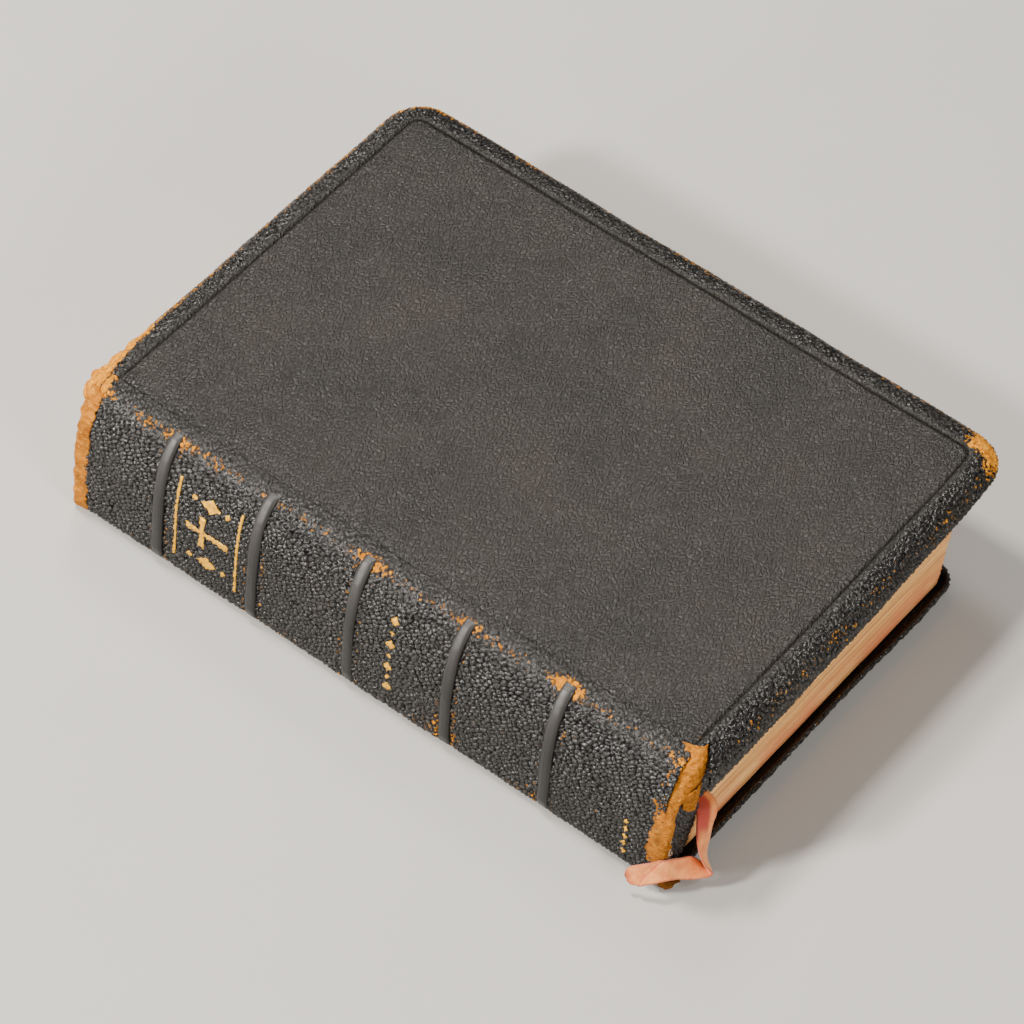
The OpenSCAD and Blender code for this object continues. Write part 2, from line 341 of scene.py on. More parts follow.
def worn_leather(name, dark, light):
    """Black grained leather, tan where worn, with painted shade in its creases and in the blind line's groove. It
    reads flat (mm), coarse, lump, groove and the wear attribute.
    """
    m = Nodes(name)
    flat = m.attribute("flat").outputs["Vector"]
    coarse = m.attribute("coarse").outputs["Fac"]
    worn = m.attribute("worn").outputs["Fac"]
    lump = m.attribute("lump").outputs["Fac"]
    broad = m.noise(flat, 0.03, 4)
    fine = m.noise(flat, 2.2, 3, 0.6)
    flecks = m.noise(flat, 0.75, 6, 0.72)
    crease = m.creases(m.turned(flat, 1.0, (0.62, 1.0, 1)), 1.0)
    pebble = m.span(crease, 0.0, 0.25)
    wrinkle = m.noise(m.turned(flat, 1.0, (0.3, 1.3, 1)), 1.0, 4, 0.6, 0.8)
    black = m.mix(m.span(broad, 0.3, 0.7), dark, light)
    # painted shade: the pebbles' creases are darkened
    black = m.mix(m.mul(m.span(pebble, 0.6, 0.0), 0.5), black, rgb(15, 14, 13))
    # painted shade: in the coarse grain the low parts of the pebbles are darker and their tops lighter
    pebble_shading = m.mix(m.span(lump, 0.35, 0.75), rgb(9, 8, 8), rgb(27, 25, 23))
    black = m.mix(m.mul(coarse, 0.8), black, pebble_shading)
    # painted shade: the cavity mask darkens the deepest creases of the coarse grain to near black
    cavity = m.mul(m.span(lump, 0.42, 0.08), coarse)
    black = m.mix(cavity, black, rgb(4, 4, 4))
    # painted shade: the blind line's groove is darkened
    groove = m.attribute("groove").outputs["Fac"]
    black = m.mix(m.mul(groove, 0.8), black, rgb(8, 7, 6))
    tan = m.mix(m.span(m.noise(flat, 0.6, 4), 0.35, 0.65), rgb(176, 106, 14), rgb(230, 154, 28))
    tan = m.mix(m.span(m.noise(flat, 3.2, 3), 0.5, 0.7), tan, rgb(112, 70, 24))
    show = m.add(worn, m.mul(m.math("SUBTRACT", flecks, 0.5), 2.0))
    brown = m.span(show, 0.52, 0.64)
    show = m.span(show, 0.62, 0.68)
    black = m.mix(m.mul(brown, 0.6), black, rgb(74, 56, 36))
    m.set(Base_Color=m.mix(show, black, tan))
    rough = m.mul_add(coarse, -0.23, 0.46)
    rough = m.add(rough, m.mul(cavity, 0.5))
    rough = m.add(rough, m.mul(m.math("SUBTRACT", fine, 0.5), 0.3))
    rough = m.math("MAXIMUM", rough, m.mul(show, 0.92))
    m.set(Roughness=rough)
    shine = m.mul(m.mul_add(cavity, -0.5, 0.55), m.mul_add(groove, -0.92, 1.0))
    m.set(Specular_IOR_Level=m.mul(shine, m.mul_add(show, -0.7, 1.0)))
    height = m.add(m.mul(pebble, 0.5), m.mul(wrinkle, 1.0))
    height = m.add(height, m.mul(fine, 0.4))
    height = m.mul(height, m.mul_add(coarse, -0.8, 1.35))
    height = m.math("SUBTRACT", height, m.mul(show, 1.0))
    m.set(Normal=m.bump(height, 0.0004, 1.0))
    return m.material


def smooth_leather(name):
    """The polished raised bands, with a painted highlight on their crowns and on their upper stretch by the front
    joint.
    """
    m = Nodes(name)
    flat = m.attribute("flat").outputs["Vector"]
    streak = m.noise(m.turned(flat, 0, (0.25, 2.0, 1)), 0.8, 4, 0.6)
    fine = m.noise(flat, 3.0, 3)
    # painted highlight, with some rubbing: this attribute lightens the bands' crowns and their upper stretch
    rub_and_highlight = m.attribute("worn").outputs["Fac"]
    black = m.mix(m.span(streak, 0.3, 0.7), rgb(11, 11, 11), rgb(24, 23, 23))
    m.set(Base_Color=m.mix(rub_and_highlight, black, rgb(58, 56, 54)))
    m.set(Roughness=m.span(streak, 0.3, 0.75, 0.3, 0.46))
    m.set(Specular_IOR_Level=0.35)
    m.set(Normal=m.bump(m.add(streak, m.mul(fine, 0.5)), 0.00012, 0.8))
    return m.material


def torn_leather(name):
    """The fuzzy tan inside of torn leather."""
    m = Nodes(name)
    flat = m.attribute("flat").outputs["Vector"]
    tufts = m.noise(m.turned(flat, 0.2, (1.0, 0.45, 1)), 0.8, 6, 0.72)
    fuzz = m.noise(m.turned(flat, 0.2, (1.0, 0.3, 1)), 3.5, 4, 0.7)
    dark = m.attribute("worn").outputs["Fac"]
    colour = m.mix(m.span(tufts, 0.3, 0.7), rgb(158, 88, 16), rgb(222, 138, 34))
    colour = m.mix(m.span(fuzz, 0.5, 0.75), colour, rgb(246, 184, 76))
    colour = m.mix(dark, colour, rgb(72, 42, 20))
    m.set(Base_Color=colour)
    m.set(Roughness=0.95)
    m.set(Specular_IOR_Level=0.15)
    m.set(Normal=m.bump(m.add(tufts, m.mul(fuzz, 0.6)), 0.0012, 1.0))
    return m.material


def page_edges(name):
    """The cut edges of old pages: fine leaf lines, with a red tint that has mostly worn off."""
    m = Nodes(name)
    at = m.object_mm()
    lines = m.noise(m.turned(at, 0, (0.015, 0.015, 5.0)), 1.0, 4, 0.75)
    groups = m.noise(m.turned(at, 0, (0.01, 0.01, 0.7)), 1.0, 2)
    blots = m.noise(at, 0.05, 4, 0.6)
    parts = m.node("ShaderNodeSeparateXYZ", {0: at}).outputs
    colour = m.mix(m.span(lines, 0.35, 0.65), rgb(184, 124, 60), rgb(252, 208, 134))
    colour = m.mix(m.mul(m.span(groups, 0.4, 0.7), 0.4), colour, rgb(196, 142, 106))
    low = m.span(parts["Z"], 17.0, 3.0)
    far = m.mul(m.span(parts["X"], 30.0, 62.0), 0.3)
    red = m.add(m.mul(low, 0.85), far, clamp=True)
    patchy = m.span(m.add(blots, m.mul(lines, 0.35)), 0.45, 0.8)
    red = m.mul(red, patchy, clamp=True)
    m.set(Base_Color=m.mix(m.mul(red, 0.8), colour, rgb(206, 98, 68)))
    m.set(Roughness=0.82)
    m.set(Specular_IOR_Level=0.25)
    m.set(Normal=m.bump(lines, 0.0002, 0.6))
    return m.material


def paper(name, low, high, edge, rough=0.85):
    """Old paper: faint clouding, fibres, foxing spots and edges that have gone tan."""
    m = Nodes(name)
    at = m.object_mm()
    cloud = m.noise(at, 0.03, 4, 0.6)
    fibre = m.noise(m.turned(at, 0.3, (0.6, 2.5, 1)), 1.0, 4, 0.6)
    spots = m.span(m.noise(at, 0.16, 5, 0.7), 0.68, 0.78)
    colour = m.mix(m.span(cloud, 0.35, 0.65), low, high)
    colour = m.mix(m.mul(spots, 0.35), colour, rgb(140, 96, 52))
    parts = m.node("ShaderNodeSeparateXYZ", {0: at}).outputs
    rim = m.math("MAXIMUM", m.span(m.math("ABSOLUTE", parts["Y"]), 90.0, 96.5), m.span(parts["X"], 46.0, 53.0))
    colour = m.mix(m.mul(m.mul(rim, rim), 0.7), colour, edge)
    m.set(Base_Color=colour)
    m.set(Roughness=rough)
    m.set(Specular_IOR_Level=0.3)
    m.set(Normal=m.bump(fibre, 0.00006, 0.6))
    return m.material


def weave(name, low, high, pitch):
    """Woven cloth, pitch in mm."""
    m = Nodes(name)
    at = m.object_mm()
    parts = m.node("ShaderNodeSeparateXYZ", {0: at}).outputs
    cross = m.mul(m.wave(parts["Y"], pitch), m.wave(m.add(parts["Z"], parts["X"]), pitch))
    m.set(Base_Color=m.mix(m.add(m.mul(cross, 0.7), m.mul(m.noise(at, 0.4, 3), 0.3)), low, high))
    m.set(Roughness=0.9)
    m.set(Normal=m.bump(cross, 0.0001, 0.8))
    return m.material


def gold_leaf(name):
    """Gold tooling, matt and a little rubbed."""
    m = Nodes(name)
    at = m.object_mm()
    rub_and_highlight = m.noise(at, 1.3, 4, 0.65)
    m.set(Base_Color=m.mix(m.span(rub_and_highlight, 0.42, 0.72), rgb(236, 176, 34), rgb(188, 126, 22)))
    m.set(Metallic=0.35)
    m.set(Roughness=m.span(rub_and_highlight, 0.35, 0.7, 0.34, 0.6))
    m.set(Normal=m.bump(m.noise(at, 2.2, 3), 0.00012, 0.8))
    return m.material


def ribbon_silk(name):
    """Faded ribbon, ribbed across, darker red where stained and where shade is painted on its inner face and crease.
    It reads flat (mm along, mm across) and the wear attribute.
    """
    m = Nodes(name)
    flat = m.attribute("flat").outputs["Vector"]
    parts = m.node("ShaderNodeSeparateXYZ", {0: flat}).outputs
    rib = m.wave(parts["X"], 0.42)
    stain = m.noise(flat, 0.35, 4, 0.6)
    colour = m.mix(m.span(stain, 0.3, 0.7), rgb(216, 116, 46), rgb(246, 160, 78))
    colour = m.mix(m.mul(rib, 0.18), colour, rgb(176, 92, 58))
    colour = m.mix(m.attribute("worn").outputs["Fac"], colour, rgb(168, 48, 24))
    m.set(Base_Color=colour)
    m.set(Roughness=0.62)
    m.set(Sheen_Weight=0.3)
    m.set(Normal=m.bump(rib, 0.00008, 0.7))
    return m.material


PANEL = worn_leather("black_grained_leather", rgb(30, 27, 22), rgb(42, 38, 31))
BAND = smooth_leather("polished_band_leather")
TORN = torn_leather("torn_tan_leather")
EDGES = page_edges("tinted_page_edges")
PAGE = paper("old_page_paper", rgb(214, 192, 154), rgb(232, 214, 180), rgb(178, 126, 72))
ENDPAPER = paper("dark_endpaper", rgb(38, 26, 24), rgb(58, 38, 34), rgb(30, 20, 18), 0.6)
LINING = paper("brown_spine_paper", rgb(120, 94, 62), rgb(156, 128, 90), rgb(120, 94, 62))
CARD = paper("grey_card", rgb(112, 100, 80), rgb(142, 128, 104), rgb(112, 100, 80))
MULL = weave("mull_cloth", rgb(176, 160, 130), rgb(228, 216, 190), 0.9)
TAPE = weave("linen_tape", rgb(190, 176, 148), rgb(238, 230, 210), 0.5)
SEWN = weave("end_band_silk", rgb(104, 30, 26), rgb(216, 196, 160), 1.1)
GOLD = gold_leaf("gold_tooling")
SILK = ribbon_silk("faded_ribbon")

LOOKS = {"spine_paper": LINING, "mull": MULL, "tapes": TAPE, "band": SEWN, "board": CARD,
         "pastedown": ENDPAPER, "leaf": PAGE}
for node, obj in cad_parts.items():
    look = next((look for word, look in LOOKS.items() if word in node), None)
    if look:
        obj.data.materials.clear()
        obj.data.materials.append(look)


# ---------------------------------------------------------------- camera, floor and light
AZIMUTH, ELEVATION = math.radians(51.23), math.radians(51.75)
DISTANCE, RIGHT_MM, UP_MM = 1549.5, -32.52, -15.77
forward = np.array([
    math.sin(AZIMUTH) * math.cos(ELEVATION),
    math.cos(AZIMUTH) * math.cos(ELEVATION),
    -math.sin(ELEVATION),
])
right = np.array([math.cos(AZIMUTH), -math.sin(AZIMUTH), 0.0])
up = np.cross(right, forward)
camera_data = bpy.data.cameras.new("camera")
camera_data.sensor_width = 36
camera_data.lens = 6000 / 1024 * camera_data.sensor_width
camera_data.clip_end = 10
camera = bpy.data.objects.new("camera", camera_data)
bpy.context.scene.collection.objects.link(camera)
eye = row(-RIGHT_MM * right - UP_MM * up - DISTANCE * forward + np.array([-1.2, 0, BOOK_T]))
camera.matrix_world = Matrix([[right[i], up[i], -forward[i], eye[i]] for i in range(3)] + [[0, 0, 0, 1]])
bpy.context.scene.camera = camera

floor_material = Nodes("pale_floor")
floor_material.set(Base_Color=floor_material.mix(
    floor_material.noise(floor_material.object_mm(), 0.02, 2), rgb(176, 174, 170), rgb(181, 179, 175)))
floor_material.set(Roughness=0.7)
FLOOR_HALF, FLOOR_Z = 6, -0.0002
corners = [(x * FLOOR_HALF, y * FLOOR_HALF, FLOOR_Z) for x, y in ((-1, -1), (1, -1), (1, 1), (-1, 1))]
floor = piece("floor", corners, [(0, 1, 2, 3)], [floor_material.material], smooth_shading=False)

LAMPS = [  # name, place, size, power and colour
    ("key", (-0.95, 0.62, 0.95), (0.2, 0.16), 29, (1.0, 0.955, 0.9)),
    ("top", (0.05, 0.5, 1.25), (0.24, 0.2), 19, (1.0, 0.95, 0.89)),
    ("sheen", (0.72, 0.62, 1.15), (0.36, 0.28), 9, (1.0, 0.96, 0.91)),
    ("low", (-1.0, 0.42, 0.3), (0.16, 0.1), 8, (1.0, 0.96, 0.92)),
    ("fill", (-0.3, -1.2, 0.6), (0.5, 0.4), 15, (1.0, 0.96, 0.91))]
for name, place, size, power, colour in LAMPS:
    light = bpy.data.lights.new(name, "AREA")
    light.shape = "RECTANGLE"
    light.size, light.size_y = size
    light.energy, light.color = power, colour
    lamp = bpy.data.objects.new(name, light)
    lamp.location = place
    lamp.rotation_euler = (Vector((0, 0, 0.02)) - Vector(place)).to_track_quat("-Z", "Y").to_euler()
    bpy.context.scene.collection.objects.link(lamp)
world = bpy.data.worlds.new("studio")
world.use_nodes = True
sky = world.node_tree.nodes["Background"].inputs
sky["Color"].default_value, sky["Strength"].default_value = (1.0, 0.98, 0.95, 1), 0.24
bpy.context.scene.world = world


# ---------------------------------------------------------------- the spine's section
STRIP_X = 5.0
PROFILE = [
    (STRIP_X, 42), (3.5, 42), (2, 41.9), (0.6, 41.5), (-0.8, 40.7), (-2.2, 39.5), (-3.6, 37.9), (-5.0, 35.8),
    (-6.3, 33), (-7.4, 29.5), (-8.4, 25.5), (-9.2, 21), (-9.8, 16.5), (-10.25, 12), (-10.65, 8), (-10.95, 4.5),
    (-11.0, 2.2), (-10.7, 0.8), (-9.8, 0.15), (-8.4, 0), (BACK_JOINT + STRIP_X, 0)]
SPINE_STEP = 0.32

_, spine_line = section_line(PROFILE, SPINE_STEP)
spine_s = travel(spine_line)
tangent = np.gradient(spine_line, axis=0)
tangent /= np.linalg.norm(tangent, axis=1, keepdims=True)
spine_out = np.stack([tangent[:, 1], -tangent[:, 0]], -1)  # points out of the book
FRONT_SEAM = int(np.argmin(np.abs(spine_line[:, 1] - 38.2)))
BACK_SEAM = int(np.argmin(np.abs(spine_line[:, 1] - 3.8)))


def bend(start, end):
    """Where a blend between two bodies starts and ends."""
    return {"start": tuple(row(start)), "end": tuple(row(end))}


FRONT_BEND = ("front_half", "front_cover"), bend((-1.6, 0, 40.0), (2.6, 0, 42.4))
MIDDLE_BEND = ("back_half", "front_half"), bend((-9, 0, MID_Z - 2.5), (-9, 0, MID_Z + 2.5))
BACK_BEND = ("back_half", "back_cover"), bend((-11, 0, 5), (-8.6, 0, 0.2))


def bent(obj, bodies, places, nodes=()):
    """Puts a piece in place of the CAD's nodes, with its placement baked into its mesh."""
    if nodes:
        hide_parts(*nodes)
    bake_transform(obj)
    return obj


def on_spine(s, y, lift):
    """A point over the spine leather's face, at distance s round it, raised by lift."""
    x = np.interp(s, spine_s, spine_line[:, 0]) + lift * np.interp(s, spine_s, spine_out[:, 0])
    z = np.interp(s, spine_s, spine_line[:, 1]) + lift * np.interp(s, spine_s, spine_out[:, 1])
    return np.stack(np.broadcast_arrays(x, y, z), -1)


# ---------------------------------------------------------------- covers
def patches(flat, size, seed, octaves=3):
    """Fractal noise over the leather, in lumps size mm across."""
    return fractal(flat[:, 0] / size, flat[:, 1] / size, seed, octaves)


def cover(x_end, x0, x1, y1, corner, section, step, warp, tears, seed, cut=0.0, rip=0.0, line=8.9):
    """A limp cover's leather, drawn with depth d under its outer face.

    section runs over the edge from the panel to the turn-in, as (inset from the rim, depth). The panel
    starts at x0 and the overhanging rims at x_end, where they round off into the spine's ends. The tail
    rim is torn back by cut, and rip roughens the head rim by the joint.
    Returns outer points (x, y, depth) and faces, with what the leather's material reads.
    """
    s, prof = section_line(section, step * 0.9)
    reach = section[0][0]
    # the path round the panel: head edge, corner, fore-edge, corner, tail edge
    xs = np.arange(x_end, x1 - reach, step)
    ys = np.arange(-(y1 - reach), y1 - reach, step)
    arc = np.linspace(0, math.pi / 2, max(8, int(reach * 1.6 / step)))
    far_x, far_y = x1 - reach, y1 - reach
    sides = [(xs, far_y, 0, 1), (far_x, far_y, np.sin(arc), np.cos(arc)), (far_x, ys[::-1][1:], 1, 0),
             (far_x, ys[0], np.cos(arc[1:]), -np.sin(arc[1:])), (xs[::-1], ys[0], 0, -1)]
    path, out = np.split(np.concatenate([np.stack(np.broadcast_arrays(*side), -1) for side in sides]), 2, axis=1)
    # a rounded corner smaller than the turned band comes from squaring the fan's reach
    square = 1 / np.abs(out).max(axis=1)
    stretch = 1 + (square - 1) * np.clip(1 - corner / reach, 0, 1)

    def fan(distance, depth):
        """Points straight out from the path, for each place across the band."""
        flat = path[:, None] + out[:, None] * (distance * stretch[:, None])[..., None]
        return np.concatenate([flat, np.broadcast_to(depth[None, :, None], (*flat.shape[:2], 1))], -1)

    def on_band(values):
        """Values on the band, and zeros on the panel."""
        shape = values.shape[2:]
        values = np.broadcast_to(values, (len(path), len(s), *shape)).reshape(-1, *shape)
        return np.concatenate([values, np.zeros((gx.size, *shape))])

    band, flat = fan(reach - prof[:, 0], prof[:, 1]), fan(s, np.zeros_like(s))
    inset = np.broadcast_to(prof[None, :, 0], band.shape[:2])
    gx, gy = np.meshgrid(np.append(np.arange(x0, far_x, step), far_x), np.append(ys, far_y), indexing="ij")
    panel = np.stack([gx, gy, np.zeros_like(gx)], -1)
    panel_inset = reach + np.minimum(far_x - gx, np.minimum(gy - ys[0], far_y - gy))
    points = np.concatenate([band.reshape(-1, 3), panel.reshape(-1, 3)])
    flats = np.concatenate([flat.reshape(-1, 3), panel.reshape(-1, 3)])
    insets = np.concatenate([inset.ravel(), panel_inset.ravel()])
    along = on_band(s[None, :])
    faces = [grid_faces(*band.shape[:2]), grid_faces(*panel.shape[:2])[:, ::-1] + band.size // 3]
    faces = np.concatenate(faces)
    shown = along < s[np.argmax(prof[:, 1])]
    # the blind line, a groove with soft lips
    off = insets - line - 0.15 * noise(flats[:, 0] / 30, flats[:, 1] / 30, seed)
    on_top = along < 8
    groove = bell(off, 0, 0.42) * on_top * smooth(x0 - 1, x0 + 3, flats[:, 0])
    depth = 0.5 * groove - 0.1 * bell(off, -1.5, 0.9) * on_top
    # limp leather: long soft waves, and pebbles on the rolled edge
    wave = 0.35 * patches(flats, 60, seed + 1) * smooth(0, 6, insets) * smooth(x0, x0 + 7, points[:, 0])
    depth *= smooth(x0 - 1, x0 + 3, points[:, 0])
    coarse = smooth(line, line - 3, insets) + 0.35 * patches(flats, 18, seed + 2) * (insets < 12)
    coarse = np.clip(np.maximum(coarse, 0.45 * smooth(x0 + 7, x0, points[:, 0])), 0, 1)
    coarse *= np.where(shown, 1, 0.3)
    lump, rise = skin(flats[:, 0], flats[:, 1], coarse)
    rise *= 1 - 0.8 * bell(off, 0, 0.9) * on_top
    down = smooth(0, 3.4, on_band(prof[None, :, 1]))
    outward = on_band(out[:, None])
    normal = np.column_stack([outward * down[:, None], down - 1])
    normal[~shown] = 0
    points = points + normal * rise[:, None]
    points[:, 2] += (depth + wave * 0.6) * (1 - down)
    # the rim wanders a little in plan
    wander = 0.45 * patches(flats, 24, seed + 8, 2) * smooth(9, 2, insets)
    ripped = fractal(flats[:, 0] / 2.4, np.full(len(flats), 0.5), seed + 9, 4) * smooth(34, 14, points[:, 0])
    wander += rip * ripped * smooth(5, 1.5, insets) * smooth(96, 99, points[:, 1])
    points[:, :2] += outward * wander[:, None]
    # the rims' ends are rounded by the spine
    end = 3.5
    short = np.clip(end - (points[:, 0] - x_end), 0, end)
    y = np.abs(points[:, 1])
    points[:, 1] -= np.sign(points[:, 1]) * (end - np.sqrt(end**2 - short**2)) * smooth(97, y1 - 2, y)
    points = warp(points)
    gone = (points[:, 0] < x0 - 0.01) & (np.abs(points[:, 1]) < HEAD_Y - 0.7)
    gone |= (points[:, 1] < -98.2) & (points[:, 0] < x_end + cut * (points[:, 1] + 105.5) / 6.5)
    faces = faces[~gone[faces].any(axis=1)]
    worn = tears(points, flats, insets, along) + 0.3 * (lump - 0.5) * coarse
    return points, faces, {"flat": flats, "coarse": coarse, "worn": worn, "lump": lump, "groove": groove}


FRONT_SECTION = [
    (12, 0), (10, 0), (8, 0.05), (6.5, 0.2), (5, 0.5), (3.6, 1.0), (2.4, 1.7), (1.4, 2.7), (0.6, 3.9), (0.15, 5.1),
    (0, 6.1), (0.2, FRONT_LIP - 0.1), (0.7, FRONT_LIP + 0.25), (1.3, FRONT_LIP), (1.7, 6.0), (1.8, 4.6), (2.3, 3.4),
    (3.6, 2.7), (6, 2.45), (9, 2.35)]
BACK_SECTION = [
    (7, 0), (6, 0.05), (5, 0.2), (3.8, 0.55), (2.6, 1.05), (1.6, 1.8), (0.8, 2.7), (0.25, 3.8), (0, 4.7),
    (0.1, BACK_LIP - 0.2), (0.6, BACK_LIP + 0.2), (1.2, BACK_LIP - 0.1), (1.5, 4.2), (1.8, 3.4), (2.6, 2.7),
    (4.4, 2.45), (8, 2.35)]


def front_warp(p):
    """The head and tail rims aren't quite square to the joint, and the tail's hangs lower by the spine."""
    p = p.copy()
    head = np.interp(p[:, 0], [0, 60, 120, 136], [1.4, -0.3, -1.6, -2.4])
    tail = np.interp(p[:, 0], [0, 60, 110, 136], [0.0, 0.2, 1.0, 2.6])
    w = np.clip(np.abs(p[:, 1]) / FRONT_Y, 0, 1) ** 3
    p[:, 1] += np.where(p[:, 1] > 0, head, tail) * w
    hang = np.interp(p[:, 0], [0, 40, 80, 130], [1.2, 0.7, 0, -1.5])
    p[:, 2] += hang * smooth(3, 7, p[:, 2]) * smooth(-90, -98, p[:, 1])
    return p


def front_tears(p, flats, insets, along):
    """How worn the front cover is: its rims, the head by the spine, the corners and the tail by the spine."""
    x, y = p[:, 0], p[:, 1]
    worn = (0.44 + 0.08 * (y > 60)) * bell(insets, 1.8, 2.6) * (along < 17)
    worn += 0.2 * patches(flats, 14, 71, 4) * (insets < 9)
    worn += 0.25 * bell(insets, 9, 1.5) * smooth(80, 110, y) + 0.12 * smooth(60, 0, x) * smooth(70, 100, y)
    worn += 0.9 * bell(x, 1, 6.5) * bell(y, 102.5, 4)
    worn += (0.7 + 0.5 * patches(flats, 5, 73)) * bell(insets, 1.5, 3.2) * smooth(32, 10, x) * (y > 0)
    worn += (0.95 + 0.5 * patches(flats, 4, 74)) * bell(x, 129.5, 4.5) * bell(y, -95.5, 6.5) * (insets < 8)
    worn += 0.3 * bell(x, 132, 9) * bell(y, 98, 9) * (insets < 6)
    worn += 0.5 * bell(x, 8, 3) * bell(y, -95, 3)
    return np.clip(worn, 0, 1.2)


def back_tears(p, flats, insets, along):
    """How worn the back cover is: a little, along its rims."""
    edge = 0.34 * bell(insets, 0.8, 1.6) * (along < 14)
    return np.clip(edge + 0.1 * noise(flats[:, 0] / 12, flats[:, 1] / 12, 72) * (insets < 5), 0, 1)


def ride_cover(side, points, faces, looks):
    """A cover's leather as a piece, in place of the CAD's."""
    obj = piece(f"{side}_cover_leather_skin", row(points), faces, [PANEL], attributes=looks)
    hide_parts(f"{side}_cover_leather")
    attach(obj, f"{side}_cover")


points, faces, looks = cover(
    -1.8, STRIP_X, FRONT_X, FRONT_Y, 12, FRONT_SECTION, 0.5, front_warp, front_tears, 11, cut=8.8, rip=1.6)
points[:, 2] = BOOK_T - points[:, 2] - np.interp(points[:, 0], [-2.2, -0.8, 0.6, 2, 3.5], [2.5, 1.3, 0.5, 0.1, 0])
ride_cover("front", points, faces, looks)

points, faces, looks = cover(
    BACK_JOINT - 1.8, BACK_JOINT + STRIP_X, BACK_X, BACK_Y, 7, BACK_SECTION, 0.8, lambda p: p, back_tears, 23)
points[:, 2] += np.interp(points[:, 0], [-10.6, -9.8, -8.4], [0.8, 0.15, 0])
ride_cover("back", points, faces[:, ::-1], looks)


# ---------------------------------------------------------------- spine and joints
ys = np.arange(TAIL_Y, HEAD_Y + 0.01, SPINE_STEP)
S, Y = np.meshgrid(spine_s, ys, indexing="ij")
coarse = 0.45 + 0.55 * smooth(0, 7, S) + 0.15 * fractal(S / 14, Y / 14, 32)
lump, rise = skin(STRIP_X - S, Y, coarse)
soft = 0.4 * fractal(S / 16, Y / 16, 35, 3)
dip = sum(0.3 * np.exp(-(((Y - b) / 2.0) ** 4)) + 0.2 * bell(np.abs(Y - b), 2.6, 0.7) for b in BANDS_Y)
rise = rise + soft * smooth(0, 6, S) * smooth(spine_s[-1], spine_s[-1] - 6, S) - 0.5 * dip * smooth(3, 8, S)
outer = on_spine(S, Y, rise)
inner = on_spine(S, Y, -1.0)
# worn along the front joint, round the bands, at the head and at the tail
worn = 0.42 * bell(S, 5.4, 2.2) + 0.14 * smooth(4, 9, S) + 0.25 * fractal(S / 9, Y / 9, 37, 4)
worn += 0.18 * smooth(38, 48, S) + sum(0.3 * bell(S, 5, 3.5) * bell(Y, b, 5) for b in BANDS_Y)
worn += sum(0.22 * bell(np.abs(Y - b), 2.9, 0.8) for b in BANDS_Y) * smooth(5, 12, S)
worn += 0.6 * bell(Y, HEAD_Y, 1.6) + bell(S, 0, 7.5) * bell(Y, 102.5, 6.5)
worn += 0.5 * bell(S, 4, 4.5) * bell(Y, BANDS_Y[4], 6) + 0.2 * bell(S, 4, 4) * bell(Y, -98, 5)
worn += 0.35 * (lump - 0.5)
flat = np.stack([STRIP_X - S, Y, np.zeros_like(S)], -1)


def strip(name, first, last, joint, nodes=()):
    """One stretch of the spine's sheet of leather."""
    cut = slice(first, last + 1)
    points, faces = slab(outer[cut], inner[cut])
    looks = {"flat": flat, "coarse": coarse, "worn": np.clip(worn, 0, 1.2), "lump": lump}
    obj = piece(name, row(points), faces, [PANEL], walls=2 * sum(outer[cut].shape[:2]) - 4,
                attributes={key: both_sides(value[cut]) for key, value in looks.items()})
    bent(obj, *joint, nodes)


strip("front_joint_leather", 0, FRONT_SEAM, FRONT_BEND)
strip("spine_leather", FRONT_SEAM, BACK_SEAM, MIDDLE_BEND, ["front_spine_leather", "back_spine_leather"])
strip("back_joint_leather", BACK_SEAM, len(spine_s) - 1, BACK_BEND)

# raised bands: a half-round strip of smooth leather from joint to joint
band_s = np.linspace(4.0, spine_s[-1] - 7, 150)
across = np.linspace(-1, 1, 17)
for i, y in enumerate(BANDS_Y, 1):
    S2, W = np.meshgrid(band_s, across, indexing="ij")
    fade = smooth(0, 2.2, S2 - band_s[0]) * smooth(0, 5, band_s[-1] - S2)
    dome = (1 - np.abs(W) ** 3.2) ** 0.55
    height = 1.15 * dome * (0.25 + 0.75 * fade) - 0.25 + 0.05 * fractal(S2 / 3, W + i * 7, 50 + i)
    sway = 0.35 * noise(S2 / 14, np.full_like(S2, i * 3.1), 61)
    top = on_spine(S2, y + sway + W * (1.9 + 0.12 * noise(S2 / 5, W * 0 + i, 63)), height)
    under = on_spine(S2, y + sway + W * 1.7, -0.5)
    points, faces = slab(top, under)
    # painted highlight, with some rubbing: lighter on the crowns and on the upper stretch near the front joint,
    # where the light falls
    rub_and_highlight = (0.75 * smooth(28, 8, S2) + 0.12) * dome
    flat2 = np.stack([S2, W * 2 + i * 20, np.zeros_like(S2)], -1)
    band = piece(f"raised_band_{i}", row(points), faces, [BAND], attributes={
        "flat": both_sides(flat2), "worn": both_sides(rub_and_highlight)})
    bent(band, *MIDDLE_BEND, [f"front_raised_band_{i}", f"back_raised_band_{i}"])


